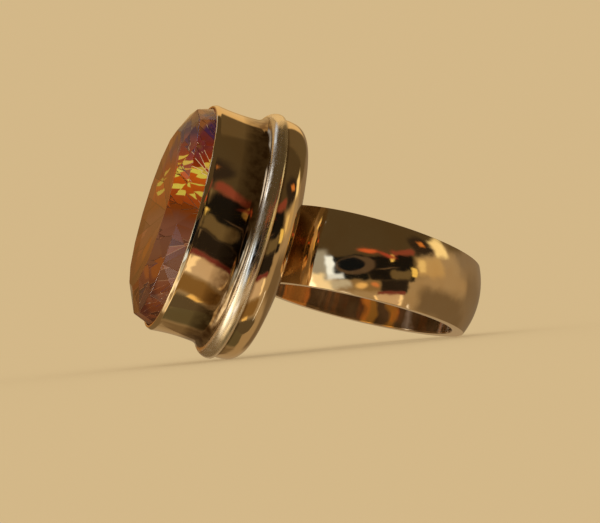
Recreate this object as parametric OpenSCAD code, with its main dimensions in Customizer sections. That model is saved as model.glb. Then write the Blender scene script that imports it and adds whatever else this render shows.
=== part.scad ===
// Ring with one large oval stone in a waisted bezel head.
// It is drawn worn, finger along Z and stone towards -X, then laid on its side as it rests on a table.

/* [Band] */
// Diameter of the finger hole
finger_d = 17.3; // [15.5:0.1:20]
// Thickness of the band in the middle of its width
band_t = 1.75; // [1.4:0.05:2.2]
// Thickness of the band along its two edges
band_edge_t = 1; // [0.8:0.05:1.2]
// Width of the band at the head
band_w_head = 7.1; // [6:0.1:8]
// Width of the band at the back of the finger
band_w_back = 6.1; // [4.5:0.1:7]

/* [Stone] */
// Length of the stone, along the finger
stone_l = 20; // [18:0.5:22]
// Width of the stone
stone_w = 15; // [14:0.5:16]
// Number of main facets round the crown and round the pavilion
facet_n = 16; // [12:4:20]
// Length of the table
table_l = 14.4; // [13.6:0.1:15]
// Width of the table
table_w = 11.5; // [11:0.1:12]
// Height of the crown, from the girdle up to the table
crown_h = 2.5; // [2.3:0.1:2.8]
// Height above the girdle of the star facets' lower points
star_h = 1.5; // [1.4:0.05:1.6]
// How far inside the girdle those points lie
star_in = 0.55; // [0.45:0.05:0.65]
// Thickness of the girdle
girdle_t = 0.3; // [0.2:0.05:0.4]
// Depth of the pavilion, from the girdle down to the culet
pavilion_h = 6; // [5:0.1:6.2]
// How far out the lower girdle facets start, as a share of the girdle
lower_share = 0.55; // [0.4:0.05:0.7]

/* [Head] */
// Height of the rim above the middle of the finger hole
rim_z = 18.1; // [17.8:0.1:19]
// How far the rim stands above the girdle
lip_h = 0.2; // [0.15:0.05:0.3]
// Thickness of the wall at the rim, round the girdle
lip_t = 0.3; // [0.25:0.05:0.4]
// Slope of the lip's inner edge, which leans over the stone
lip_slope = 60; // [50:1:70]
// Width of the bevel along the rim's outer edge
bevel_w = 0.2; // [0.14:0.02:0.22]
// Slope of that bevel
bevel_slope = 66; // [60:1:70]
// Clearance between the stone and its bezel
seat_gap = 0.08; // [0.06:0.01:0.1]
// Radius of the oval's two ends, at the girdle
oval_end_r = 6.25; // [6:0.05:6.4]
// How far the wall stands out past the girdle at its waist
waist_out = 0.2; // [0.16:0.02:0.24]
// Height of the waist
waist_z = 15.6; // [15.4:0.1:15.8]
// Radius of the small curve at the foot of the wall
foot_r = 1; // [0.95:0.01:1.05]
// Height of the middle of that small curve
foot_z = 14.04; // [13.99:0.05:14.14]
// Thickness of the round wire that rings the head
wire_d = 1.4; // [1.2:0.05:1.5]
// How far the wire's middle lies outside the girdle
wire_out = 0.675; // [0.6:0.005:0.75]
// Height of the wire's middle
wire_z = 12.45; // [12.3:0.05:12.6]
// Radius of the rounded flange below the wire
flange_r = 2.1; // [2:0.05:2.2]
// How far the middle of that curve lies inside the girdle
flange_in = 0.9; // [0.8:0.05:1]
// Height of the flat underside of the head
base_z = 9.22; // [9.1:0.01:9.3]
// How far the edge of the underside lies inside the girdle
base_in = 0.85; // [0.75:0.01:0.9]
// Height of the thin flat edge round the underside
base_edge_h = 0.23; // [0.15:0.01:0.3]
// Thickness of the floor below the stone
floor_t = 1.38; // [1.3:0.02:1.6]
// Thickness of the hidden wall inside the girdle's outline
wall_in = 0.5; // [0.4:0.05:0.6]
// Slope of the seat that the stone lies on
seat_slope = 40; // [35:1:45]
// Diameter of the light hole behind the culet
light_hole_d = 2.6; // [2:0.1:3]

/* [Hidden] */
$fn = 128;
gold = [0.86, 0.64, 0.33];
topaz = [0.62, 0.30, 0.34];
// Length by which a shape overruns the one that it meets or cuts
spare = 1;

// Band: the dome's profile is an arc through its middle and its two edges.
finger_r = finger_d / 2;
dome_half = (band_w_head + band_w_back) / 4;
dome_rise = band_t - band_edge_t;
dome_r = (dome_half ^ 2 + dome_rise ^ 2) / (2 * dome_rise);
dome_mid = finger_r + band_t - dome_r;
head_edge_r = dome_mid + sqrt(dome_r ^ 2 - (band_w_head / 2) ^ 2);
back_edge_r = dome_mid + sqrt(dome_r ^ 2 - (band_w_back / 2) ^ 2);
band_r = finger_r + band_t;
taper = (band_w_head - band_w_back) / 2 / (head_edge_r + back_edge_r);

// Head: an oval of four arcs. Each arc's seam lies on the line through two of their centres.
half_l = stone_l / 2;
half_w = stone_w / 2;
oval_side_r = ((half_l - oval_end_r) ^ 2 + half_w ^ 2 - oval_end_r ^ 2) / (2 * (half_w - oval_end_r));
end_shift = half_l - oval_end_r;
side_shift = oval_side_r - half_w;
seam = atan2(side_shift, end_shift);
wire_r = wire_d / 2;
rim_out = seat_gap + lip_t;
waist_dip = rim_out - waist_out;
waist_r = ((rim_z - waist_z) ^ 2 + waist_dip ^ 2) / (2 * waist_dip);
// The long curve gives way to the small one where they point the same way.
waist_turn = asin((waist_z - foot_z) / (waist_r - foot_r));
foot_x = waist_out + waist_r - (waist_r - foot_r) * cos(waist_turn);
join_z = waist_z - waist_r * sin(waist_turn);
flange_z = base_z + base_edge_h + flange_r;
floor_z = base_z + floor_t;
// The floor is swept this far in, and a plain block fills its middle.
floor_in = 4;

// Stone: heights of its tiers. The pavilion is a round one stretched to the oval, which keeps its mains flat.
step = 360 / facet_n;
girdle_top = rim_z - lip_h;
girdle_low = girdle_top - girdle_t;
table_z = girdle_top + crown_h;
star_l = stone_l - 2 * star_in;
star_w = stone_w - 2 * star_in;
culet_z = girdle_low - pavilion_h;
lower_z = girdle_low - pavilion_h * (1 - lower_share * cos(step / 2));
seat_x = -wall_in;
seat_z = girdle_low - seat_gap;

// Rest: the flange's end and the band's back edge touch the table, and both give the same height.
touch_along = half_l - flange_in - band_w_back / 2;
touch_apart = flange_z + back_edge_r;
lean = atan2(touch_along, touch_apart) + asin(flange_r / norm([touch_along, touch_apart]));
rest_h = back_edge_r * sin(lean) + band_w_back / 2 * cos(lean);
// The middle of the box lies halfway between the stone's lower table corner and the crest of the band's back.
stone_reach = table_z * cos(lean) + table_l / 2 * sin(lean);
back_reach = dome_mid * cos(lean) + dome_r;
rest_x = (stone_reach - back_reach) / 2;

module lay_down() {
    translate([rest_x, 0, rest_h])
        rotate([0, lean, 0])
            children();
}

// Turns a head drawn upright, its length along X, to face -X with its length along the finger.
module face_front() {
    rotate([0, -90, 0])
        children();
}

// Sweeps a profile round the oval. Its X is the distance outside the girdle and its Y is the height.
module sweep_oval() {
    for (turn = [0, 180])
        rotate([0, 0, turn]) {
            translate([end_shift, 0, 0])
                rotate([0, 0, -seam])
                    rotate_extrude(angle = 2 * seam)
                        translate([oval_end_r, 0])
                            children();
            rotate([0, 0, 90])
                translate([-side_shift, 0, 0])
                    rotate([0, 0, seam - 90])
                        rotate_extrude(angle = 180 - 2 * seam)
                            translate([oval_side_r, 0])
                                children();
        }
}

module band() {
    wide = 2 * band_r;
    intersection() {
        rotate_extrude()
            intersection() {
                translate([dome_mid, 0])
                    circle(dome_r);
                translate([finger_r, -band_w_head])
                    square([wide, 2 * band_w_head]);
            }
        rotate([90, 0, 0])
            linear_extrude(2 * wide, center = true)
                polygon([
                    [-wide, band_w_head / 2 + taper * (wide - head_edge_r)],
                    [wide, band_w_back / 2 - taper * (wide - back_edge_r)],
                    [wide, -band_w_back / 2 + taper * (wide - back_edge_r)],
                    [-wide, -band_w_head / 2 - taper * (wide - head_edge_r)]
                ]);
    }
}

// Wall: the bevelled lip, the long hollow curve outside and the sloped seat inside.
module wall_profile() {
    difference() {
        polygon([
            [seat_x, wire_z - wire_r],
            [rim_out + spare, wire_z - wire_r],
            [rim_out + spare, rim_z - (spare + bevel_w) * tan(bevel_slope)],
            [rim_out - bevel_w, rim_z],
            [seat_gap - lip_h / tan(lip_slope), rim_z],
            [seat_gap, girdle_top],
            [seat_gap, seat_z],
            [seat_x, seat_z - (seat_gap - seat_x) * tan(seat_slope)]
        ]);
        translate([waist_out + waist_r, waist_z])
            circle(waist_r);
    }
}

// Foot of the wall: the small curve that flares out to the wire.
module foot_profile() {
    difference() {
        translate([seat_x, wire_z - wire_r / 2])
            square([wire_out - seat_x + wire_r / 2, join_z - wire_z + wire_r / 2]);
        translate([foot_x, foot_z])
            circle(foot_r);
    }
}

module flange_profile() {
    intersection() {
        translate([-flange_in, flange_z])
            circle(flange_r);
        polygon([
            [-flange_in, base_z],
            [flange_r, base_z],
            [flange_r, wire_z],
            [seat_x, wire_z],
            [seat_x, floor_z],
            [-flange_in, floor_z]
        ]);
    }
}

module head_profile() {
    wall_profile();
    foot_profile();
    flange_profile();
    translate([wire_out, wire_z])
        circle(wire_r);
    translate([-floor_in, base_z])
        square([floor_in - base_in, floor_t]);
}

module head() {
    sweep_oval()
        head_profile();
    translate([floor_in - half_l - spare / 2, floor_in - half_w - spare / 2, base_z])
        cube([stone_l - 2 * floor_in + spare, stone_w - 2 * floor_in + spare, floor_t]);
}

// Band and head, soldered into one piece.
module setting() {
    color(gold)
        lay_down()
            difference() {
                union() {
                    band();
                    face_front()
                        head();
                }
                cylinder(h = stone_l, r = finger_r, center = true);
                face_front()
                    cylinder(h = rim_z, d = light_hole_d);
            }
}

// A point on an oval outline of the stone, at a place counted in facets round it.
function oval_point(long, wide, place, z) =
    [long / 2 * cos(place * step), wide / 2 * sin(place * step), z];

// The crown has two tiers of facets, a shallow one round the table and a steep one down to the girdle.
module stone() {
    last = facet_n - 1;
    corner = 0;
    star = facet_n;
    upper = 2 * facet_n;
    lower = 4 * facet_n;
    break = 6 * facet_n;
    culet = 7 * facet_n;
    points = [
        for (k = [0:last]) oval_point(table_l, table_w, k, table_z),
        for (k = [0:last]) oval_point(star_l, star_w, k + 0.5, girdle_top + star_h),
        for (k = [0:0.5:last + 0.5]) oval_point(stone_l, stone_w, k, girdle_top),
        for (k = [0:0.5:last + 0.5]) oval_point(stone_l, stone_w, k, girdle_low),
        for (k = [0:last]) oval_point(lower_share * stone_l, lower_share * stone_w, k + 0.5, lower_z),
        [0, 0, culet_z]
    ];
    faces = [
        [for (k = [last:-1:0]) corner + k],
        for (k = [0:last])
            let (next = (k + 1) % facet_n, back = (k + last) % facet_n)
            let (main = 2 * k, half = 2 * k + 1, far = 2 * next)
            each [
                [corner + k, corner + next, star + k],
                [corner + k, star + k, star + back],
                [star + k, upper + main, star + back],
                [star + k, upper + half, upper + main],
                [star + k, upper + far, upper + half],
                [upper + main, upper + half, lower + half, lower + main],
                [upper + half, upper + far, lower + far, lower + half],
                [break + k, lower + main, lower + half],
                [break + k, lower + half, lower + far],
                [culet, break + back, lower + main, break + k]
            ]
    ];
    color(topaz)
        lay_down()
            face_front()
                polyhedron(points, faces);
}

setting();
stone();
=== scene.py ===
"""Looks of a finger ring with one large oval stone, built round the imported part.

Sizes are in mm until the matrices LAY and HEAD turn them into the scene's metres.
"""

import math
import random

import bmesh
import bpy
from mathutils import Matrix, Vector, noise


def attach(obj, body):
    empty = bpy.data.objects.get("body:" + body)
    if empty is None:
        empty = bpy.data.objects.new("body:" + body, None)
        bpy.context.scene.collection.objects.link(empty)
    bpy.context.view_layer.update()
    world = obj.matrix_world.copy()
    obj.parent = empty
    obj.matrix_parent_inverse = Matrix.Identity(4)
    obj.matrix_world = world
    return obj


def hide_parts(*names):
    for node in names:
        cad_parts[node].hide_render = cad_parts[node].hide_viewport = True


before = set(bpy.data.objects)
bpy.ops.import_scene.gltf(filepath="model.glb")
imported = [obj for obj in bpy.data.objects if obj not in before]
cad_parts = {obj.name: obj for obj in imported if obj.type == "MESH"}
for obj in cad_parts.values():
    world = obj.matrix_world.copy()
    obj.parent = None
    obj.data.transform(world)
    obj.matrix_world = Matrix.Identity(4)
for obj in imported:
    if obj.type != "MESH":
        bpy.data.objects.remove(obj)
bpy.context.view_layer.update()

# Sizes, as in the part's source.
FINGER_R = 8.65
BAND_T, BAND_EDGE_T = 1.75, 1.0
BAND_W_HEAD, BAND_W_BACK = 7.1, 6.1
STONE_L, STONE_W = 20.0, 15.0
FACETS = 16
TABLE_L, TABLE_W = 14.4, 11.5
CROWN_H, GIRDLE_T, PAVILION_H = 2.5, 0.3, 6.0
STAR_H, STAR_IN = 1.5, 0.55
LOWER_SHARE = 0.55
RIM_Z, LIP_H, LIP_T, LIP_SLOPE = 18.1, 0.2, 0.3, math.radians(60)
BEVEL_W = 0.2
SEAT_GAP, WALL_IN, SEAT_SLOPE = 0.08, 0.5, math.radians(40)
WAIST_OUT, WAIST_Z = 0.2, 15.6
FOOT_R, FOOT_Z = 1.0, 14.04
WIRE_R, WIRE_OUT, WIRE_Z = 0.7, 0.675, 12.45
FLANGE_R, FLANGE_IN = 2.1, 0.9
BASE_Z, BASE_IN, BASE_EDGE_H, FLOOR_T = 9.22, 0.85, 0.23, 1.38
LIGHT_HOLE_R = 1.3

# Sizes that only the scene has. The wire is worn to an oval with half sizes WIRE_FLAT and WIRE_WIDE, turned
# up by WIRE_FACE. The flange's arc is a flatter face and a tighter edge that meet at FLANGE_TURN.
WIRE_FLAT, WIRE_WIDE, WIRE_FACE = 0.59, 0.83, math.radians(30)
FLANGE_FACE_R, FLANGE_EDGE_R, FLANGE_TURN = 5.0, 1.45, math.radians(9)
# The underside's last points before its edge, inwards from that edge, and the edge's rounding.
UNDERSIDE_STEPS, UNDERSIDE_ROUND = (0.9, 0.35, 0.3), 0.16
# How far below the rim the lip's bevel begins, the rise that leads to it, and the lip's rounded corners.
BEVEL_DROP, BEVEL_RUN = 0.34, 0.25
LIP_ROUNDS = {1: 0.3, 2: 0.12, 3: 0.1}
# Inside the head: a point on the wall above the floor, one on the floor beside the wall, and a ring on it.
WALL_POINT_H, FLOOR_POINT_IN, FLOOR_RING_R = 3.5, 0.6, 4.2
BAND_INNER_ROUND, BAND_OUTER_ROUND = 0.14, 0.12
SEAM_R, SEAM_SINK = 0.2, 0.02
# Where the rod that drills the light hole ends on either side, along the band's own X.
DRILL_ENDS = (-12.5, -7.5)
# The width of the stone's soft edges, and how far a facet's colour may stray, in lengths of the stone.
FACET_EDGE, FACET_STRAY = 0.03, 0.03
# How many points go round the head and round the band.
AROUND = 288
# The radius of a circle about as long as the girdle's oval, for the polishing marks.
POLISH_R = 9

# Unevenness left by hand work: height, size of the bumps, and seed of each noise.
HEAD_WAVES = ((0.012, 3.1, 1), (0.004, 1.2, 2))
RIM_WAVES = ((0.02, 1.7, 3), (0.012, 0.6, 4))
BAND_WAVES = ((0.010, 2.6, 5), (0.004, 1.1, 6))
SEAM_WAVES = ((0.055, 0.55, 8), (0.03, 0.22, 9))

# What follows from these sizes.
DOME_HALF = (BAND_W_HEAD + BAND_W_BACK) / 4
DOME_RISE = BAND_T - BAND_EDGE_T
DOME_R = (DOME_HALF ** 2 + DOME_RISE ** 2) / (2 * DOME_RISE)
DOME_MID = FINGER_R + BAND_T - DOME_R
HEAD_EDGE_R = DOME_MID + math.sqrt(DOME_R ** 2 - (BAND_W_HEAD / 2) ** 2)
BACK_EDGE_R = DOME_MID + math.sqrt(DOME_R ** 2 - (BAND_W_BACK / 2) ** 2)
TAPER = (BAND_W_HEAD - BAND_W_BACK) / 2 / (HEAD_EDGE_R + BACK_EDGE_R)
RIM_OUT = SEAT_GAP + LIP_T
DIP = RIM_OUT - WAIST_OUT
WAIST_R = ((RIM_Z - WAIST_Z) ** 2 + DIP ** 2) / (2 * DIP)
WAIST_TURN = math.asin((WAIST_Z - FOOT_Z) / (WAIST_R - FOOT_R))
FOOT_X = WAIST_OUT + WAIST_R - (WAIST_R - FOOT_R) * math.cos(WAIST_TURN)
FLANGE_Z = BASE_Z + BASE_EDGE_H + FLANGE_R
FLOOR_Z = BASE_Z + FLOOR_T
GIRDLE_TOP = RIM_Z - LIP_H
GIRDLE_LOW = GIRDLE_TOP - GIRDLE_T
TABLE_Z = GIRDLE_TOP + CROWN_H
STAR_L, STAR_W = STONE_L - 2 * STAR_IN, STONE_W - 2 * STAR_IN
CULET_Z = GIRDLE_LOW - PAVILION_H
STEP = 2 * math.pi / FACETS
LOWER_Z = GIRDLE_LOW - PAVILION_H * (1 - LOWER_SHARE * math.cos(STEP / 2))

# The lean at which the flange and the band's edge at the back of the finger both touch the table.
ALONG = STONE_L / 2 - FLANGE_IN - BAND_W_BACK / 2
APART = FLANGE_Z + BACK_EDGE_R
LEAN = math.atan2(ALONG, APART) + math.asin(FLANGE_R / math.hypot(ALONG, APART))
REST_H = BACK_EDGE_R * math.sin(LEAN) + BAND_W_BACK / 2 * math.cos(LEAN)
STONE_REACH = TABLE_Z * math.cos(LEAN) + TABLE_L / 2 * math.sin(LEAN)
REST_X = (STONE_REACH - DOME_MID * math.cos(LEAN) - DOME_R) / 2

# From mm to metres: the band's Z runs along the finger, and the head's Z runs out through the stone.
MM = 0.001
LAY = Matrix.Scale(MM, 4) @ Matrix.Translation((REST_X, 0, REST_H)) @ Matrix.Rotation(LEAN, 4, "Y")
HEAD = LAY @ Matrix.Rotation(-math.pi / 2, 4, "Y")

# Small helpers.
def wobble(p, size, seed):
    """Smooth noise of about -1 to 1 at a point, with bumps of about that size."""
    return noise.noise(Vector(p) / size + Vector((seed * 7.31, seed * 3.17, seed * 5.53)))


def uneven(p, waves):
    """The sum of some noises at a point."""
    return sum(height * wobble(p, size, seed) for height, size, seed in waves)


def on_circle(r, k, count):
    """The point number k of count points round a circle."""
    turn = 2 * math.pi * k / count
    return r * math.cos(turn), r * math.sin(turn)


def running_lengths(points):
    """How far along a polyline each of its points lies."""
    lengths = [0.0]
    for p, q in zip(points, points[1:]):
        lengths.append(lengths[-1] + math.hypot(q[0] - p[0], q[1] - p[1]))
    return lengths


def arc(cx, cz, r, start, end, count):
    """Points on a circle from one angle to another, in degrees."""
    return [
        (cx + r * math.cos(math.radians(start + (end - start) * i / count)),
         cz + r * math.sin(math.radians(start + (end - start) * i / count)))
        for i in range(count + 1)
    ]


def rounded(points, radii, count=4, closed=False):
    """The polyline with the corners that radii names, by index, turned into small arcs."""
    out = []
    total = len(points)
    for i, p in enumerate(points):
        r = radii.get(i, 0)
        if not r or (not closed and i in (0, total - 1)):
            out.append(p)
            continue
        here = Vector(p)
        a = Vector(points[i - 1]) - here
        b = Vector(points[(i + 1) % total]) - here
        half = a.angle(b) / 2
        reach = min(r / math.tan(half), a.length * 0.48, b.length * 0.48)
        r = reach * math.tan(half)
        a.normalize()
        b.normalize()
        middle = here + (a + b).normalized() * (r / math.sin(half))
        first, last = here + a * reach - middle, here + b * reach - middle
        for k in range(count + 1):
            t = k / count
            spoke = first.lerp(last, t)
            out.append(tuple(middle + spoke.normalized() * r))
    return out


def object_from(name, points, faces, matrix, sharp=35):
    """A mesh object of points in mm, its edges sharp where faces turn by more than an angle in degrees."""
    mesh = bpy.data.meshes.new(name)
    mesh.from_pydata([matrix @ Vector(p) for p in points], [], faces)
    mesh.validate()
    obj = bpy.data.objects.new(name, mesh)
    bpy.context.scene.collection.objects.link(obj)
    fix = bmesh.new()
    fix.from_mesh(mesh)
    bmesh.ops.recalc_face_normals(fix, faces=fix.faces)
    fix.to_mesh(mesh)
    fix.free()
    for face in mesh.polygons:
        face.use_smooth = True
    mesh.set_sharp_from_angle(angle=math.radians(sharp))
    return obj


def tube_faces(rings, around):
    """Quads of a grid of rings that closes both ways."""
    return [
        (i * around + j, i * around + (j + 1) % around,
         ((i + 1) % rings) * around + (j + 1) % around, ((i + 1) % rings) * around + j)
        for i in range(rings) for j in range(around)
    ]


# The head: one profile round the oval.
def meet(c1, r1, c2, r2, upper):
    """Where two circles cross, the crossing further out when upper is true."""
    (x1, z1), (x2, z2) = c1, c2
    d = math.hypot(x2 - x1, z2 - z1)
    a = (r1 * r1 - r2 * r2 + d * d) / (2 * d)
    h = math.sqrt(max(r1 * r1 - a * a, 0))
    ux, uz = (x2 - x1) / d, (z2 - z1) / d
    both = [(x1 + a * ux - h * uz, z1 + a * uz + h * ux), (x1 + a * ux + h * uz, z1 + a * uz - h * ux)]
    return max(both) if upper else min(both)


def angle_at(centre, p):
    """The angle in degrees at which a centre sees a point."""
    return math.degrees(math.atan2(p[1] - centre[1], p[0] - centre[0]))


def worn_wire(lowest):
    """The wire's outline above a height, from the flange's side to where it meets the foot of the wall."""
    worn = []
    for degrees in range(-60, 131, 5):
        flat = WIRE_FLAT * math.cos(math.radians(degrees))
        wide = WIRE_WIDE * math.sin(math.radians(degrees))
        x = WIRE_OUT + flat * math.cos(WIRE_FACE) - wide * math.sin(WIRE_FACE)
        z = WIRE_Z + flat * math.sin(WIRE_FACE) + wide * math.cos(WIRE_FACE)
        if z > lowest and (degrees < 60 or math.hypot(x - FOOT_X, z - FOOT_Z) < FOOT_R):
            worn.append((x, z))
    return worn


def lip_outline(wall_end):
    """The profile from the wall's end over the lip and down inside to the seat."""
    bevel_z = RIM_Z - BEVEL_DROP
    bevel_x = WAIST_OUT + WAIST_R - math.sqrt(WAIST_R ** 2 - (bevel_z - WAIST_Z) ** 2)
    lip = [
        wall_end,
        (bevel_x, bevel_z),
        (RIM_OUT - BEVEL_W, RIM_Z),
        (SEAT_GAP - LIP_H / math.tan(LIP_SLOPE), RIM_Z),
        (SEAT_GAP, GIRDLE_TOP),
        (SEAT_GAP, GIRDLE_LOW - SEAT_GAP),
    ]
    return rounded(lip, LIP_ROUNDS, 5)[1:]


def head_outline():
    """The profile from the underside, out round flange, wire and wall, over the lip and down inside.

    With it come the places along it where the flange, the wire, the wall and the inside begin.
    """
    foot, waist = (FOOT_X, FOOT_Z), (WAIST_OUT + WAIST_R, WAIST_Z)
    # the flange's two arcs touch the table at the same height as the part's one arc
    turn_z = BASE_Z + BASE_EDGE_H + FLANGE_EDGE_R
    reach = FLANGE_R - FLANGE_IN * math.cos(LEAN) - FLANGE_Z * math.sin(LEAN)
    turn_x = (reach - FLANGE_EDGE_R + turn_z * math.sin(LEAN)) / math.cos(LEAN)
    apart = FLANGE_FACE_R - FLANGE_EDGE_R
    turn = (turn_x, turn_z)
    face = (turn_x - apart * math.cos(FLANGE_TURN), turn_z + apart * math.sin(FLANGE_TURN))
    low_edge = (-BASE_IN, turn_z - math.sqrt(FLANGE_EDGE_R ** 2 - (turn_x + BASE_IN) ** 2))
    crease = meet(face, FLANGE_FACE_R, (WIRE_OUT, WIRE_Z), WIRE_R, True)
    worn = worn_wire(crease[1] + 0.02)
    far_in, near_in, corner_in = UNDERSIDE_STEPS
    out = [(-BASE_IN - far_in, BASE_Z), (-BASE_IN - near_in, BASE_Z)]
    corner = [(-BASE_IN - corner_in, BASE_Z), (-BASE_IN, BASE_Z), low_edge]
    out += rounded(corner, {1: UNDERSIDE_ROUND})[1:-1]
    starts = [len(out) - 1]
    out += arc(*turn, FLANGE_EDGE_R, angle_at(turn, low_edge), -math.degrees(FLANGE_TURN), 30)
    out += arc(*face, FLANGE_FACE_R, -math.degrees(FLANGE_TURN), angle_at(face, crease), 12)[1:]
    starts.append(len(out) - 1)
    out += worn
    starts.append(len(out))
    wall_start = 180 + math.degrees(WAIST_TURN)
    wall_end = 180 - math.degrees(math.asin((RIM_Z - BEVEL_DROP - BEVEL_RUN - WAIST_Z) / WAIST_R))
    out += arc(*foot, FOOT_R, angle_at(foot, worn[-1]) % 360, wall_start, 12)
    out += arc(*waist, WAIST_R, wall_start, wall_end, 30)[1:]
    out += lip_outline(out[-1])
    starts.append(len(out) - 1)
    seat_z = GIRDLE_LOW - SEAT_GAP
    out += [(-WALL_IN, seat_z - (SEAT_GAP + WALL_IN) * math.tan(SEAT_SLOPE))]
    out += [(-WALL_IN, FLOOR_Z + WALL_POINT_H), (-WALL_IN, FLOOR_Z), (-WALL_IN - FLOOR_POINT_IN, FLOOR_Z)]
    return out, starts


def oval_stations(count):
    """Points and outward normals spread evenly round the girdle's oval."""
    fine = 4000
    a, b = STONE_L / 2, STONE_W / 2
    turns = [2 * math.pi * i / fine for i in range(fine + 1)]
    lengths = running_lengths([(a * math.cos(turn), b * math.sin(turn)) for turn in turns])
    out, i = [], 0
    for k in range(count):
        want = lengths[-1] * k / count
        while lengths[i + 1] < want:
            i += 1
        t = 2 * math.pi * (i + (want - lengths[i]) / (lengths[i + 1] - lengths[i])) / fine
        normal = Vector((b * math.cos(t), a * math.sin(t))).normalized()
        out.append((Vector((a * math.cos(t), b * math.sin(t))), normal))
    return out


OVAL = oval_stations(AROUND)


def painted_shade_at(far, crease, root):
    """How much painted shade darkens the gold at a length along the profile: most in the wall's foot, less
    at the crease.
    """
    def near(middle, below, above):
        reach = above if far > middle else below
        return max(0.0, 1 - ((far - middle) / reach) ** 2)
    return max(near(root + 0.5, 0.75, 1.9) ** 0.7, 0.6 * near(crease, 0.2, 0.2))


def head_point(spot, normal, u, z):
    """A point of the profile at a station of the oval, uneven on the outside and along the rim."""
    place = spot + normal * u
    outside = z > BASE_Z + 0.5 and u > -WALL_IN - 0.1
    swell = uneven((place.x, place.y, z), HEAD_WAVES) if outside else 0.0
    edge = uneven((place.x, place.y, 0), RIM_WAVES) if z > RIM_Z - 0.15 else 0.0
    place = spot + normal * (u + swell + edge * 0.6)
    return place.x, place.y, z + edge


def make_head():
    """The head, one profile swept round the oval and closed across the floor as far as the light hole."""
    outline, starts = head_outline()
    lengths = running_lengths(outline)
    closing = [(FLOOR_RING_R, FLOOR_Z), (LIGHT_HOLE_R, FLOOR_Z)]
    closing += [(LIGHT_HOLE_R, BASE_Z), (FLOOR_RING_R, BASE_Z)]
    rings = len(outline) + len(closing)
    points, polish = [], []
    for k, (spot, normal) in enumerate(OVAL):
        polish += [(*on_circle(POLISH_R, k, AROUND), far) for far in lengths + [lengths[-1]] * len(closing)]
        points += [head_point(spot, normal, u, z) for u, z in outline]
        way = spot.normalized()
        points += [(way.x * r, way.y * r, z) for r, z in closing]
    obj = object_from("bezel_head", points, tube_faces(AROUND, rings), HEAD)
    # places round the oval and across the profile, in mm, so that polishing marks can follow the oval
    layer = obj.data.attributes.new("polish", "FLOAT_VECTOR", "POINT")
    layer.data.foreach_set("vector", [v for row in polish for v in row])
    # painted shade: for each point, how much darker the gold is drawn in the wall's foot and at the crease
    layer = obj.data.attributes.new("foot_shade", "FLOAT", "POINT")
    crease, root = lengths[starts[1]], lengths[starts[2]]
    layer.data.foreach_set("value", [painted_shade_at(far, crease, root) for *_, far in polish])
    for material in (gold_plain, gold_polished, gold_wire, gold_polished, gold_plain):
        obj.data.materials.append(material)
    for face in obj.data.polygons:
        face.material_index = sum(face.index % rings >= start for start in starts)
    return obj


# The band: a domed profile round the finger.
def band_section(theta):
    """The band's outline at an angle round the finger, as radius and place along the finger."""
    def half_at(radius):
        return BAND_W_HEAD / 2 - TAPER * (radius * math.cos(theta) + HEAD_EDGE_R)
    inner = half_at(FINGER_R)
    outer = half_at(FINGER_R + BAND_EDGE_T)
    side_r, side_z = FINGER_R + BAND_EDGE_T / 2, (inner + outer) / 2
    steps, flat_steps = 22, 10
    dome = []
    for i in range(steps + 1):
        z = outer * math.cos(math.pi * i / steps)
        dome.append((DOME_MID + math.sqrt(DOME_R ** 2 - z * z), z))
    flat = [(FINGER_R, -inner + 2 * inner * i / flat_steps) for i in range(flat_steps + 1)]
    corners = flat + [(side_r, side_z)] + dome + [(side_r, -side_z)]
    first_dome = flat_steps + 2
    radii = {0: BAND_INNER_ROUND, flat_steps: BAND_INNER_ROUND}
    radii.update({first_dome: BAND_OUTER_ROUND, first_dome + steps: BAND_OUTER_ROUND})
    return rounded(corners, radii, 4, True)


def make_drill():
    """A rod through the band under the head, for the light hole."""
    sides = 64
    circle = [on_circle(LIGHT_HOLE_R, i, sides) for i in range(sides)]
    points = [(x, y, z) for x in DRILL_ENDS for y, z in circle]
    faces = [tuple(range(sides)), tuple(range(2 * sides - 1, sides - 1, -1))]
    faces += [(i, (i + 1) % sides, sides + (i + 1) % sides, sides + i) for i in range(sides)]
    return object_from("drill", points, faces, LAY)


def make_band():
    """The band, with the light hole drilled through it, and its inner wall in a material of its own."""
    points = []
    for k in range(AROUND):
        x, y = on_circle(1.0, k, AROUND)
        section = band_section(2 * math.pi * k / AROUND)
        for r, z in section:
            swell = uneven((x * r, y * r, z), BAND_WAVES) if r > FINGER_R + 0.3 else 0.0
            points.append((x * (r + swell), y * (r + swell), z))
    band = object_from("band", points, tube_faces(AROUND, len(section)), LAY)
    drill = make_drill()
    cut = band.modifiers.new("light_hole", "BOOLEAN")
    cut.operation, cut.object, cut.solver = "DIFFERENCE", drill, "EXACT"
    apply_modifiers(band)
    bpy.data.objects.remove(drill)
    band.data.materials.clear()
    band.data.materials.append(gold_band)
    band.data.materials.append(gold_inner)
    back = LAY.inverted()
    for face in band.data.polygons:
        middle = back @ face.center
        face.material_index = 1 if math.hypot(middle.x, middle.y) < FINGER_R + 0.08 else 0
    band.data.set_sharp_from_angle(angle=math.radians(35))
    return band


def apply_modifiers(obj):
    """Turns what the modifiers make into the object's own mesh."""
    bpy.context.view_layer.update()
    dg = bpy.context.evaluated_depsgraph_get()
    mesh = bpy.data.meshes.new_from_object(obj.evaluated_get(dg))
    obj.modifiers.clear()
    obj.data = mesh


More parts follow.
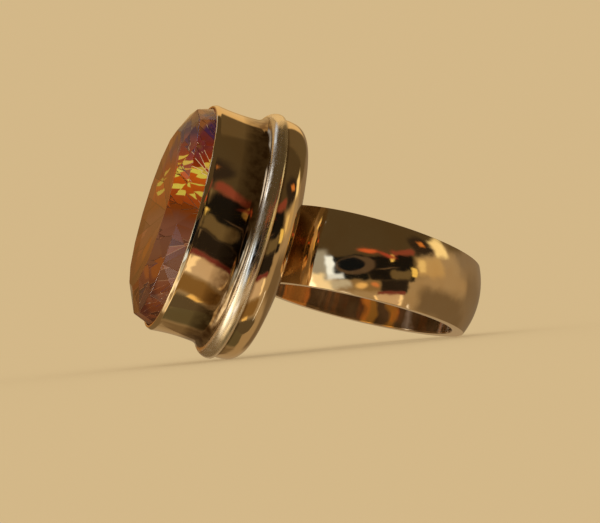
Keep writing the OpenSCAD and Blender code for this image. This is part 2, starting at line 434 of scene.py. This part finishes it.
# Solder along the joint of band and head.
def make_seam():
    """A thin uneven bead in the corner between the band and the head's underside."""
    def outer_r(z):
        return DOME_MID + math.sqrt(max(DOME_R ** 2 - z * z, 0))
    half = BAND_W_HEAD / 2 - SEAM_SINK
    side = math.sqrt(max(outer_r(half) ** 2 - BASE_Z ** 2, 0))
    curved, straight, around = 60, 30, 14
    path = []
    for i in range(curved + 1):
        z = half * math.cos(math.pi * i / curved)
        path.append((math.sqrt(outer_r(z) ** 2 - BASE_Z ** 2), z))
    run = [(side - 2 * side * i / straight, -half) for i in range(1, straight)]
    loop = path + run + [(-y, -z) for y, z in path] + [(-y, -z) for y, z in run]
    points = []
    total = len(loop)
    for i, (y, z) in enumerate(loop):
        ahead, behind = loop[(i + 1) % total], loop[i - 1]
        tangent = Vector((0, ahead[0] - behind[0], ahead[1] - behind[1])).normalized()
        out = tangent.cross(Vector((1, 0, 0))).normalized()
        if out.y * y + out.z * z < 0:
            out = -out
        for k in range(around):
            turn = 2 * math.pi * k / around
            way = out * math.cos(turn) + Vector((1, 0, 0)) * math.sin(turn)
            here = Vector((-BASE_Z + SEAM_SINK, y, z)) + way * SEAM_R
            points.append(here + way * uneven(here, SEAM_WAVES))
    return object_from("solder_seam", points, tube_faces(total, around), LAY, 180)


# The stone.
def oval_point(length, width, place, z):
    """A point of an oval, its place counted in facets round the stone."""
    return Vector((length / 2 * math.cos(place * STEP), width / 2 * math.sin(place * STEP), z))


CROWN, GIRDLE, PAVILION = 0, 1, 2


def make_stone():
    """The stone, cut in facets with fine soft edges, each facet with a colour draw of its own."""
    n = FACETS
    points = [oval_point(TABLE_L, TABLE_W, k, TABLE_Z) for k in range(n)]
    points += [oval_point(STAR_L, STAR_W, k + 0.5, GIRDLE_TOP + STAR_H) for k in range(n)]
    points += [oval_point(STONE_L, STONE_W, k / 2, GIRDLE_TOP) for k in range(2 * n)]
    points += [oval_point(STONE_L, STONE_W, k / 2, GIRDLE_LOW) for k in range(2 * n)]
    points += [oval_point(LOWER_SHARE * STONE_L, LOWER_SHARE * STONE_W, k + 0.5, LOWER_Z) for k in range(n)]
    points += [Vector((0, 0, CULET_Z))]
    star, upper, lower, brk, culet = n, 2 * n, 4 * n, 6 * n, 7 * n
    faces, kinds = [tuple(range(n - 1, -1, -1))], [CROWN]
    for k in range(n):
        nxt, back = (k + 1) % n, (k - 1) % n
        main, half, far = 2 * k, 2 * k + 1, 2 * nxt
        faces += [
            (k, nxt, star + k),
            (k, star + k, star + back),
            (star + k, upper + main, star + back),
            (star + k, upper + half, upper + main),
            (star + k, upper + far, upper + half),
            (upper + main, upper + half, lower + half, lower + main),
            (upper + half, upper + far, lower + far, lower + half),
            (brk + k, lower + main, lower + half),
            (brk + k, lower + half, lower + far),
            (culet, brk + back, lower + main, brk + k),
        ]
        kinds += [CROWN] * 5 + [GIRDLE] * 2 + [PAVILION] * 3
    stone = object_from("stone_cut", points, faces, HEAD, 1)
    mesh = stone.data
    for material in (stone_crown, stone_girdle, stone_pavilion):
        mesh.materials.append(material)
    for face, kind in zip(mesh.polygons, kinds):
        face.material_index = kind
    work = bmesh.new()
    work.from_mesh(mesh)
    layer = work.faces.layers.float_vector.new("facet")
    draw = random.Random(11)
    for face in work.faces:
        middle = sum((vert.co for vert in face.verts), Vector()) / len(face.verts)
        share = (HEAD.inverted() @ middle).x / STONE_L + 0.5
        stray = draw.uniform(-FACET_STRAY, FACET_STRAY)
        face[layer] = (share + stray, draw.uniform(-1, 1), draw.uniform(-1, 1))
    edge = FACET_EDGE * MM
    bmesh.ops.bevel(work, geom=list(work.edges), offset=edge, segments=1, profile=0.5, affect="EDGES")
    for face in work.faces:
        face.smooth = False
    work.to_mesh(mesh)
    work.free()
    return stone


# Materials.
def node_of(tree, kind):
    """The first node of a kind in a tree."""
    return next(node for node in tree.nodes if node.type == kind)


def new_material(name):
    """A material with its node tree and its shader."""
    material = bpy.data.materials.new(name)
    material.use_nodes = True
    tree = material.node_tree
    return material, tree, node_of(tree, "BSDF_PRINCIPLED")


def textured(tree, scale, detail):
    """A noise in the row's own coordinates, its scale in bumps per mm."""
    place = tree.nodes.new("ShaderNodeTexCoord")
    mapping = tree.nodes.new("ShaderNodeMapping")
    mapping.inputs["Scale"].default_value = [scale * 1000] * 3
    tree.links.new(place.outputs["Object"], mapping.inputs["Vector"])
    tex = tree.nodes.new("ShaderNodeTexNoise")
    tex.inputs["Scale"].default_value = 1.0
    tex.inputs["Detail"].default_value = detail
    tree.links.new(mapping.outputs["Vector"], tex.inputs["Vector"])
    return tex.outputs["Fac"]


def ramp(tree, source, stops):
    """Colours that a value runs through, each at its place from 0 to 1."""
    node = tree.nodes.new("ShaderNodeValToRGB")
    while len(node.color_ramp.elements) < len(stops):
        node.color_ramp.elements.new(0.5)
    for element, (place, colour) in zip(node.color_ramp.elements, stops):
        element.position = place
        element.color = (*colour, 1)
    tree.links.new(source, node.inputs["Fac"])
    return node.outputs["Color"]


def ranged(tree, source, low, high, start, end):
    """A value that goes from low to high as the source goes from start to end."""
    node = tree.nodes.new("ShaderNodeMapRange")
    node.inputs["From Min"].default_value = start
    node.inputs["From Max"].default_value = end
    node.inputs["To Min"].default_value = low
    node.inputs["To Max"].default_value = high
    tree.links.new(source, node.inputs["Value"])
    return node.outputs["Result"]


def maths(tree, kind, *values):
    """One sum or other operation on values that are numbers or sockets."""
    node = tree.nodes.new("ShaderNodeMath")
    node.operation = kind
    for socket, value in zip(node.inputs, values):
        if isinstance(value, (int, float)):
            socket.default_value = value
        else:
            tree.links.new(value, socket)
    return node.outputs[0]


def weighted(tree, first, first_share, second, second_share):
    """The sum of two values, each times its share."""
    return maths(
        tree, "ADD",
        maths(tree, "MULTIPLY", first, first_share),
        maths(tree, "MULTIPLY", second, second_share),
    )


def mixed(tree, share, first, second):
    """The first colour where share is 0 and the second where it is 1."""
    node = tree.nodes.new("ShaderNodeMix")
    node.data_type = "RGBA"
    tree.links.new(share, node.inputs["Factor"])
    for socket, colour in ((node.inputs["A"], first), (node.inputs["B"], second)):
        if isinstance(colour, tuple):
            socket.default_value = (*colour, 1)
        else:
            tree.links.new(colour, socket)
    return node.outputs["Result"]


def attribute(tree, name):
    """The node that reads one of the mesh's own attributes."""
    node = tree.nodes.new("ShaderNodeAttribute")
    node.attribute_name = name
    return node


def vector_maths(tree, kind, vector, second):
    """One operation on a vector and a fixed one."""
    node = tree.nodes.new("ShaderNodeVectorMath")
    node.operation = kind
    tree.links.new(vector, node.inputs[0])
    node.inputs[1].default_value = second
    return node


def scaled(tree, colour, share):
    """A colour times a number or a value."""
    node = tree.nodes.new("ShaderNodeVectorMath")
    node.operation = "SCALE"
    tree.links.new(colour, node.inputs[0])
    if isinstance(share, float):
        node.inputs["Scale"].default_value = share
    else:
        tree.links.new(share, node.inputs["Scale"])
    return node.outputs["Vector"]


def split(tree, vector):
    """The X, Y and Z of a vector."""
    node = tree.nodes.new("ShaderNodeSeparateXYZ")
    tree.links.new(vector, node.inputs[0])
    return node.outputs


def from_finger(tree):
    """Places in metres from the middle of the finger hole, in a frame that doesn't lean with the ring."""
    place = tree.nodes.new("ShaderNodeTexCoord").outputs["Object"]
    middle = (REST_X * MM, 0, REST_H * MM)
    return vector_maths(tree, "SUBTRACT", place, middle).outputs["Vector"]


def leaned_back(tree, vector):
    """Places turned back by the lean, so that Z runs along the finger."""
    node = tree.nodes.new("ShaderNodeVectorRotate")
    node.rotation_type = "Y_AXIS"
    node.inputs["Angle"].default_value = -LEAN
    tree.links.new(vector, node.inputs["Vector"])
    return node.outputs["Vector"]


def streaks(tree, along, across, detail, head):
    """Noise drawn out along the polishing direction. The scales are bumps per mm along and across it."""
    mapping = tree.nodes.new("ShaderNodeMapping")
    if head:
        tree.links.new(attribute(tree, "polish").outputs["Vector"], mapping.inputs["Vector"])
        mapping.inputs["Scale"].default_value = (along, along, across)
    else:
        place = tree.nodes.new("ShaderNodeTexCoord")
        tree.links.new(leaned_back(tree, place.outputs["Object"]), mapping.inputs["Vector"])
        mapping.inputs["Scale"].default_value = (along / MM, along / MM, across / MM)
    tex = tree.nodes.new("ShaderNodeTexNoise")
    tex.inputs["Scale"].default_value = 1.0
    tex.inputs["Detail"].default_value = detail
    tree.links.new(mapping.outputs["Vector"], tex.inputs["Vector"])
    return tex.outputs["Fac"]


# The two tones that each kind of gold drifts between.
GOLD = ((0.93, 0.70, 0.42), (0.97, 0.78, 0.52))
PALE_GOLD = ((0.96, 0.82, 0.62), (1.0, 0.90, 0.76))
# Painted shade: the band's inner wall is darkened as if shaded inside the finger hole.
SHADED_INNER_GOLD = ((0.145, 0.08, 0.027), (0.35, 0.205, 0.088))
# Painted shade: the plain gold of the head's underside and inside is darkened as if shaded under the head
# and within the bezel.
SHADED_GOLD = ((0.30, 0.19, 0.09), (0.46, 0.31, 0.16))
# Painted shade: the dark colour mixed into the head's gold in the wall's foot and at the crease.
PAINTED_SHADE = (0.20, 0.11, 0.045)


def gold(name, rough, wave, scratch, along=0.25, across=7.0, head=False, tones=GOLD):
    """Polished gold. Wave and scratch are the heights in mm of its soft unevenness and of its fine lines.

    Along and across are the fine lines' scales. The head's gold is darkened by painted shade in the wall's
    foot and at the crease.
    """
    material, tree, shader = new_material(name)
    shader.inputs["Metallic"].default_value = 1.0
    colour = ramp(tree, textured(tree, 0.35, 4), [(0.3, tones[0]), (0.7, tones[1])])
    if head:
        # painted shade in the wall's foot and at the crease, in soft patches
        patchy = ranged(tree, textured(tree, 1.5, 4), 0.75, 1.0, 0.4, 0.6)
        shade_share = maths(tree, "MULTIPLY", attribute(tree, "foot_shade").outputs["Fac"], patchy)
        colour = mixed(tree, shade_share, colour, PAINTED_SHADE)
    tree.links.new(colour, shader.inputs["Base Color"])
    lines = streaks(tree, along, across, 5.0, head)
    worn = weighted(tree, textured(tree, 0.8, 5), 0.6, lines, 0.4)
    tree.links.new(ranged(tree, worn, rough * 0.5, rough * 1.7, 0.35, 0.65), shader.inputs["Roughness"])
    bump = tree.nodes.new("ShaderNodeBump")
    bump.inputs["Strength"].default_value = 1.0
    bump.inputs["Distance"].default_value = MM
    tree.links.new(weighted(tree, textured(tree, 0.7, 2), wave, lines, scratch), bump.inputs["Height"])
    tree.links.new(bump.outputs["Normal"], shader.inputs["Normal"])
    return material


# Painted reflections: bright stripes across the inner wall: where each begins and ends round the finger in
# degrees, and its colour.
REFLECTION_STRIPES = [
    (2, 8, (0.60, 0.46, 0.32)),
    (34, 38, (0.72, 0.56, 0.40)),
    (46, 53, (0.95, 0.44, 0.07)),
    (61, 69, (0.95, 0.46, 0.08)),
    (108, 128, (0.90, 0.36, 0.07)),
]
# How far the stripes' edges wander and how wide they fade, in degrees.
STRIPE_WANDER, STRIPE_FADE = 14, 1.5


def paint_inner_reflections(material):
    """Adds the stripes of painted reflection, and a matte film that scatters light, to the band's inner
    wall.
    """
    tree = material.node_tree
    shader = node_of(tree, "BSDF_PRINCIPLED")
    shader.inputs["Metallic"].default_value = 0.65
    sides = split(tree, leaned_back(tree, from_finger(tree)))
    turn = maths(tree, "ABSOLUTE", maths(tree, "ARCTAN2", sides["Y"], sides["X"]))
    wander = maths(tree, "SUBTRACT", textured(tree, 0.5, 2), 0.5)
    turn = weighted(tree, turn, 180 / math.pi, wander, STRIPE_WANDER)
    colour = shader.inputs["Base Color"].links[0].from_socket
    # painted reflections: bright stripes mixed into the inner wall's colour
    for start, end, stripe in REFLECTION_STRIPES:
        begun = ranged(tree, turn, 0.0, 1.0, start - STRIPE_FADE, start + STRIPE_FADE)
        ended = ranged(tree, turn, 0.0, 1.0, end - STRIPE_FADE, end + STRIPE_FADE)
        colour = mixed(tree, maths(tree, "SUBTRACT", begun, ended), colour, stripe)
    tree.links.new(colour, shader.inputs["Base Color"])


def clear_glass():
    """The clear crown, which the coating behind it shows through."""
    material, _, shader = new_material("stone_crown")
    shader.inputs["Base Color"].default_value = (1.0, 0.95, 0.92, 1)
    shader.inputs["Roughness"].default_value = 0.0
    shader.inputs["IOR"].default_value = 1.62
    shader.inputs["Specular IOR Level"].default_value = 0.8
    shader.inputs["Transmission Weight"].default_value = 1.0
    return material


def frosted_girdle():
    """The unpolished girdle, painted a dark brown that stands for shade and for the bezel's brown
    reflection.
    """
    material, _, shader = new_material("stone_girdle")
    # painted shade and reflection: the girdle's dark brown
    shader.inputs["Base Color"].default_value = (0.21, 0.10, 0.05, 1)
    shader.inputs["Roughness"].default_value = 0.45
    return material


# The coating's colours from the stone's lower end, at 0, to its upper one, at 1.
FILM = [
    (0.16, (0.10, 0.025, 0.010)),
    (0.22, (0.12, 0.030, 0.010)),
    (0.28, (0.17, 0.035, 0.006)),
    (0.34, (0.20, 0.060, 0.022)),
    (0.38, (0.24, 0.085, 0.032)),
    (0.45, (0.23, 0.085, 0.040)),
    (0.485, (0.22, 0.075, 0.035)),
    (0.505, (0.19, 0.060, 0.024)),
    (0.53, (0.21, 0.045, 0.004)),
    (0.565, (0.26, 0.050, 0.003)),
    (0.59, (0.30, 0.050, 0.006)),
    (0.62, (0.42, 0.078, 0.004)),
    (0.66, (0.44, 0.085, 0.004)),
    (0.685, (0.44, 0.058, 0.004)),
    (0.71, (0.34, 0.032, 0.004)),
    (0.73, (0.25, 0.036, 0.022)),
    (0.755, (0.24, 0.040, 0.050)),
    (0.775, (0.08, 0.020, 0.055)),
    (0.82, (0.055, 0.020, 0.060)),
    (0.86, (0.20, 0.070, 0.022)),
]
# How much of a facet's colour is one for the whole facet, how far facets differ in brightness, and how far
# the colours wander.
FACET_SHARE, FACET_TONE, FILM_WANDER = 0.25, 0.4, 0.05
# Spots of another colour: an orange spot in the coating, then four yellow flashes that are painted
# highlights. For each, the middle along the stone and across it, half size along and across, all as shares
# of its length and width, then slant and colour.
FILM_SPOTS_AND_FLASHES = [
    (0.335, 0.185, 0.045, 0.055, 0.0, (0.30, 0.075, 0.006)),
    (0.685, 0.250, 0.009, 0.110, 0.05, (0.92, 0.64, 0.08)),
    (0.664, 0.250, 0.004, 0.080, -0.06, (0.80, 0.42, 0.03)),
    (0.637, 0.290, 0.010, 0.095, 0.06, (0.55, 0.47, 0.06)),
    (0.601, 0.238, 0.010, 0.090, -0.05, (0.56, 0.46, 0.06)),
]
# Near the girdle the coating is browner, also from the lower end to the upper one. Then how far up the
# pavilion this starts and where it is complete, as shares of its height.
EDGE_FILM = [(0.3, (0.085, 0.016, 0.007)), (0.5, (0.18, 0.045, 0.010)), (0.8, (0.30, 0.100, 0.026))]
EDGE_START, EDGE_FULL = 0.75, 0.80
# The coating as a mirror and as a glow that stands for the light that the facets pass on.
FILM_MIRROR, FILM_GLOW = 0.3, 0.6


def film_colour(tree):
    """The coating's colours: bands along the stone, facet by facet, with spots, painted yellow flashes and a
    browner edge.
    """
    apart = from_finger(tree)
    sin, cos = math.sin(LEAN), math.cos(LEAN)
    length, height = STONE_L * MM, PAVILION_H * MM
    along = vector_maths(tree, "DOT_PRODUCT", apart, (sin / length, 0, cos / length)).outputs["Value"]
    depth = vector_maths(tree, "DOT_PRODUCT", apart, (-cos / height, 0, sin / height)).outputs["Value"]
    across = maths(tree, "DIVIDE", split(tree, apart)["Y"], STONE_W * MM)
    drawn = split(tree, attribute(tree, "facet").outputs["Vector"])
    spot = weighted(tree, maths(tree, "ADD", along, 0.5), 1 - FACET_SHARE, drawn["X"], FACET_SHARE)
    wander = maths(tree, "SUBTRACT", textured(tree, 0.3, 2), 0.5)
    spot = maths(tree, "ADD", spot, maths(tree, "MULTIPLY", wander, FILM_WANDER))
    colour = ramp(tree, spot, FILM)
    # an orange coating spot, and yellow flashes that are painted highlights
    for place_along, place_across, half_along, half_across, slant, patch in FILM_SPOTS_AND_FLASHES:
        aside = maths(tree, "SUBTRACT", across, place_across)
        ahead = maths(tree, "SUBTRACT", spot, place_along)
        ahead = maths(tree, "ADD", ahead, maths(tree, "MULTIPLY", aside, slant))
        u = maths(tree, "DIVIDE", maths(tree, "ABSOLUTE", ahead), half_along)
        v = maths(tree, "DIVIDE", aside, half_across)
        far = maths(tree, "ADD", u, maths(tree, "MULTIPLY", v, v))
        colour = mixed(tree, ranged(tree, far, 1.0, 0.0, 0.8, 1.1), colour, patch)
    rise = maths(tree, "ADD", depth, -CULET_Z / PAVILION_H)
    brown = ranged(tree, rise, 0.0, 1.0, EDGE_START, EDGE_FULL)
    colour = mixed(tree, brown, colour, ramp(tree, spot, EDGE_FILM))
    tone = maths(tree, "ADD", maths(tree, "MULTIPLY", drawn["Y"], FACET_TONE), 1.0)
    return scaled(tree, colour, tone)


def coated_pavilion():
    """The back of the stone, where a thin coating gives its colours."""
    material, tree, shader = new_material("stone_pavilion")
    colour = film_colour(tree)
    tree.links.new(scaled(tree, colour, FILM_MIRROR), shader.inputs["Base Color"])
    tree.links.new(colour, shader.inputs["Emission Color"])
    shader.inputs["Emission Strength"].default_value = FILM_GLOW
    shader.inputs["Metallic"].default_value = 1.0
    shader.inputs["Roughness"].default_value = 0.08
    return material


gold_polished = gold("gold_polished", rough=0.05, wave=0.0018, scratch=0.0004, head=True)
gold_wire = gold(
    "gold_wire", rough=0.22, wave=0.002, scratch=0.0018, along=0.08, across=8.0, head=True, tones=PALE_GOLD,
)
# painted shade: the head's underside and inside, in darkened gold
gold_plain = gold(
    "gold_plain", rough=0.3, wave=0.006, scratch=0.003, along=0.6, across=3.0, head=True, tones=SHADED_GOLD,
)
gold_band = gold("gold_band", rough=0.07, wave=0.0025, scratch=0.0006)
gold_inner = gold(
    "gold_inner", rough=0.06, wave=0.004, scratch=0.0010, along=0.1, across=5.0, tones=SHADED_INNER_GOLD,
)
# painted reflections on the band's inner wall
paint_inner_reflections(gold_inner)
gold_solder = gold("gold_solder", rough=0.14, wave=0.02, scratch=0.005, along=2.0, across=3.0)
stone_crown = clear_glass()
stone_girdle = frosted_girdle()
stone_pavilion = coated_pavilion()

# Pieces.
head = make_head()
band = make_band()
seam = make_seam()
stone = make_stone()
seam.data.materials.append(gold_solder)
for piece in (head, band, seam):
    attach(piece, "root")
    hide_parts("setting")
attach(stone, "root")
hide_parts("stone")

# Floor, studio light and camera.
BACKDROP = (0.655, 0.478, 0.247)
# How much of the floor's brightness is its own. The rest dims where the ring keeps the light off.
FLOOR_GLOW = 0.5
# The floor's radius in metres.
FLOOR_R = 1.6


def make_floor():
    """A plain floor, far larger than the ring, that the polished metal doesn't mirror."""
    around = 96
    points = [(*on_circle(FLOOR_R, k, around), 0) for k in range(around)]
    floor = object_from("floor", points, [tuple(range(around))], Matrix.Identity(4))
    material, _, shader = new_material("floor")
    shader.inputs["Base Color"].default_value = (*[c * (1 - FLOOR_GLOW) for c in BACKDROP], 1)
    shader.inputs["Emission Color"].default_value = (*BACKDROP, 1)
    shader.inputs["Emission Strength"].default_value = FLOOR_GLOW
    shader.inputs["Roughness"].default_value = 1.0
    shader.inputs["Specular IOR Level"].default_value = 0.0
    floor.data.materials.append(material)
    floor.visible_glossy = False
    return floor


floor = make_floor()

# What the polished metal mirrors: panels of the studio, each as azimuth from and to, elevation from and to,
# softness of its edges in degrees, and colour. Azimuth 0 is towards -Y and grows towards +X.
PANELS = [
    (-181, 181, -91, -8, 6, (0.36, 0.25, 0.13)),
    (-181, -45, -91, -64, 5, (0.11, 0.085, 0.04)),
    (-60, 60, -91, -69, 3, (0.10, 0.07, 0.035)),
    (38, 181, -40, 22, 9, (0.37, 0.26, 0.14)),
    (34, 150, -50, -20, 7, (0.165, 0.11, 0.057)),
    (-181, -95, -40, 26, 9, (0.36, 0.22, 0.10)),
    (-181, -150, -10, 30, 8, (0.345, 0.15, 0.034)),
    (-181, -140, -45, -10, 3, (0.11, 0.045, 0.016)),
    (150, 181, 2, 30, 8, (0.55, 0.34, 0.13)),
    (-181, -110, -62, -12, 6, (0.17, 0.11, 0.05)),
    (-104, -52, -66, -46, 4, (1.05, 0.82, 0.48)),
    (-181, -120, 56, 70, 4, (0.60, 0.68, 0.82)),
    (85, 150, -2, 24, 8, (0.23, 0.165, 0.10)),
    (98, 150, -25, 0, 6, (0.20, 0.14, 0.08)),
    (31, 62, -8, 12, 4, (0.50, 0.34, 0.15)),
    (33, 40, -4, 8, 2, (0.80, 0.58, 0.24)),
    (80, 134, 14, 60, 5, (0.12, 0.08, 0.035)),
    (134, 181, 24, 66, 4, (0.74, 0.50, 0.22)),
    (-181, -120, 24, 55, 8, (0.46, 0.30, 0.13)),
    (33, 56, 14, 35, 3, (0.03, 0.02, 0.012)),
    (42, 51, 24, 30, 2, (0.60, 0.20, 0.04)),
    (58, 75, 12, 29, 3, (1.00, 0.80, 0.40)),
    (-90, -60, -16, 24, 4, (0.34, 0.34, 0.31)),
    (-88, -78, -16, 22, 1.5, (1.45, 1.48, 1.50)),
    (-97, -79, 39, 56, 3, (1.35, 1.42, 1.55)),
    (-80, -60, -30, -12, 3, (0.95, 0.80, 0.52)),
    (-108, -82, -44, -12, 6, (0.85, 0.72, 0.52)),
    (-101, -66, -30, -3, 3, (0.98, 0.84, 0.56)),
    (-102, -80, -30, -3, 2, (1.90, 1.72, 1.35)),
    (-69, -46, -42, -28, 3, (1.10, 1.00, 0.85)),
    (-56, -10, -28, -14, 3, (0.24, 0.15, 0.06)),
    (-54, -20, -14, 18, 2, (0.008, 0.008, 0.006)),
    (-20, 27, -15, 15, 1.5, (0.010, 0.008, 0.006)),
    (-10, 19, -29, -14, 2, (0.020, 0.014, 0.009)),
    (3, 21, -13, -3, 1.5, (0.14, 0.095, 0.04)),
    (-62, -54, -12, 18, 1.5, (1.00, 1.18, 1.42)),
    (-61, -45, -12, -5, 2, (0.78, 0.90, 1.06)),
    (-62, -42, -24, -14, 3, (0.50, 0.46, 0.36)),
    (8, 32, 15, 22, 2, (0.23, 0.055, 0.03)),
    (6, 9, 9, 17, 1, (0.95, 0.62, 0.16)),
    (22.5, 30, -9, 0, 1.2, (0.90, 0.62, 0.16)),
    (-14, 16, -32, -28, 1, (0.17, 0.035, 0.025)),
    (-16, 14, -47, -32, 1.5, (0.56, 0.40, 0.24)),
    (-19, -16, -47, -32, 1, (1.10, 0.80, 0.42)),
    (9, 13, -46, -32, 1, (1.05, 0.80, 0.45)),
    (-34, 12, -66, -49, 3, (0.21, 0.11, 0.03)),
    (-26, -6, -70, -65, 2, (0.90, 0.56, 0.17)),
    (24, 26, -72, -42, 1, (1.2, 1.1, 0.95)),
]
# Round reflections: azimuth and elevation of the middle, half width, half height, slant in degrees, softness
# as a share of the size, and colour.
SPOTS = [
    (-32, 5, 20, 11.5, 4, 0.08, (0.10, 0.065, 0.038)),
    (-36, 6, 14, 8.5, 4, 0.08, (0.006, 0.007, 0.008)),
    (0, 0, 11, 0.7, 4, 0.5, (0.14, 0.09, 0.05)),
    (-16, 23, 10, 2.6, -8, 0.4, (0.62, 0.12, 0.035)),
    (2, 17, 10, 2.2, -28, 0.4, (0.36, 0.06, 0.03)),
    (-30, -21, 6, 3.5, 20, 0.5, (0.80, 0.50, 0.18)),
    (-16, -20, 4, 2.5, -30, 0.5, (0.60, 0.22, 0.07)),
]
# What the metal mirrors between the panels, and what a ray meets that has come out of the stone.
CEILING = (0.075, 0.050, 0.022)
THROUGH_STONE = (0.34, 0.17, 0.08)
# How far the reflections' edges wander, in degrees, how fine the wandering is, and the share of it that the
# round ones keep.
RIPPLE, RIPPLE_SCALE, CALM = 10.0, 5.0, 0.35


def soft_step(tree, value, at, soft):
    """0 below a place and 1 above it, with a smooth rise between."""
    node = tree.nodes.new("ShaderNodeMapRange")
    node.interpolation_type = "SMOOTHSTEP"
    node.inputs["From Min"].default_value = at - soft
    node.inputs["From Max"].default_value = at + soft
    tree.links.new(value, node.inputs["Value"])
    return node.outputs["Result"]


def between(tree, value, low, high, soft):
    """1 between two places, falling softly to 0 outside them."""
    above = soft_step(tree, value, low, soft)
    return maths(tree, "MULTIPLY", above, maths(tree, "SUBTRACT", 1.0, soft_step(tree, value, high, soft)))


def reflections(tree):
    """The colour that polished metal meets in each direction."""
    place = tree.nodes.new("ShaderNodeTexCoord").outputs["Generated"]
    way = split(tree, place)
    ripple = tree.nodes.new("ShaderNodeTexNoise")
    ripple.inputs["Scale"].default_value = RIPPLE_SCALE
    tree.links.new(place, ripple.inputs["Vector"])
    wave = maths(tree, "MULTIPLY", maths(tree, "SUBTRACT", ripple.outputs["Fac"], 0.5), RIPPLE)
    calm = maths(tree, "MULTIPLY", wave, CALM)
    around = maths(tree, "ARCTAN2", way["X"], maths(tree, "MULTIPLY", way["Y"], -1.0))
    around = maths(tree, "MULTIPLY", around, 180 / math.pi)
    height = maths(tree, "MULTIPLY", maths(tree, "ARCSINE", way["Z"]), 180 / math.pi)
    calm_around, calm_height = maths(tree, "ADD", around, calm), maths(tree, "ADD", height, calm)
    around, height = maths(tree, "ADD", around, wave), maths(tree, "ADD", height, wave)
    colour = CEILING
    for left, right, low, high, soft, panel in PANELS:
        wide = between(tree, around, left, right, soft)
        mask = maths(tree, "MULTIPLY", wide, between(tree, height, low, high, soft))
        colour = mixed(tree, mask, colour, panel)
    for azimuth, elevation, half_w, half_h, slant, soft, spot in SPOTS:
        cos, sin = math.cos(math.radians(slant)), math.sin(math.radians(slant))
        right = maths(tree, "SUBTRACT", calm_around, azimuth)
        above = maths(tree, "SUBTRACT", calm_height, elevation)
        u = weighted(tree, right, cos / half_w, above, sin / half_w)
        v = weighted(tree, above, cos / half_h, right, -sin / half_h)
        far = maths(tree, "ADD", maths(tree, "MULTIPLY", u, u), maths(tree, "MULTIPLY", v, v))
        outside = soft_step(tree, maths(tree, "SQRT", far), 1.0, soft)
        colour = mixed(tree, maths(tree, "SUBTRACT", 1.0, outside), colour, spot)
    return colour


def make_world():
    """A plain backdrop for the camera, the reflections for polished metal, and even white light besides.

    A sharp refraction counts as a glossy ray too, so the colour met through the stone is mixed in last.
    """
    world = bpy.data.worlds.new("studio")
    bpy.context.scene.world = world
    world.use_nodes = True
    world.cycles.sampling_method = "NONE"
    tree = world.node_tree
    ray = tree.nodes.new("ShaderNodeLightPath").outputs
    colour = mixed(tree, ray["Is Camera Ray"], (1, 1, 1), BACKDROP)
    colour = mixed(tree, ray["Is Glossy Ray"], colour, reflections(tree))
    colour = mixed(tree, ray["Is Transmission Ray"], colour, THROUGH_STONE)
    tree.links.new(colour, node_of(tree, "BACKGROUND").inputs["Color"])


make_world()

# The camera stands DISTANCE in mm from TARGET, in the direction AWAY. PIXELS_PER_MM is the photo's scale at
# TARGET.
TARGET = Vector((-0.526, 0.0, 8.085)) * MM
AWAY = Vector((-0.30000, -0.95294, -0.04366)).normalized()
DISTANCE, PIXELS_PER_MM, ROLL = 130.0, 11.130, math.radians(-5.42)
SENSOR_W, PHOTO_W = 36.0, 600.0


def make_camera():
    """The camera at the photo's viewing angle."""
    camera = bpy.data.objects.new("camera", bpy.data.cameras.new("camera"))
    bpy.context.scene.collection.objects.link(camera)
    bpy.context.scene.camera = camera
    camera.location = TARGET + AWAY * DISTANCE * MM
    look = (-AWAY).to_track_quat("-Z", "Y").to_matrix().to_4x4()
    camera.rotation_euler = (look @ Matrix.Rotation(ROLL, 4, "Z")).to_euler()
    camera.data.sensor_width = SENSOR_W
    camera.data.lens = PIXELS_PER_MM * DISTANCE * SENSOR_W / PHOTO_W
    camera.data.clip_start, camera.data.clip_end = 0.005, 5.0


make_camera()

bpy.context.scene.view_settings.view_transform = "Standard"
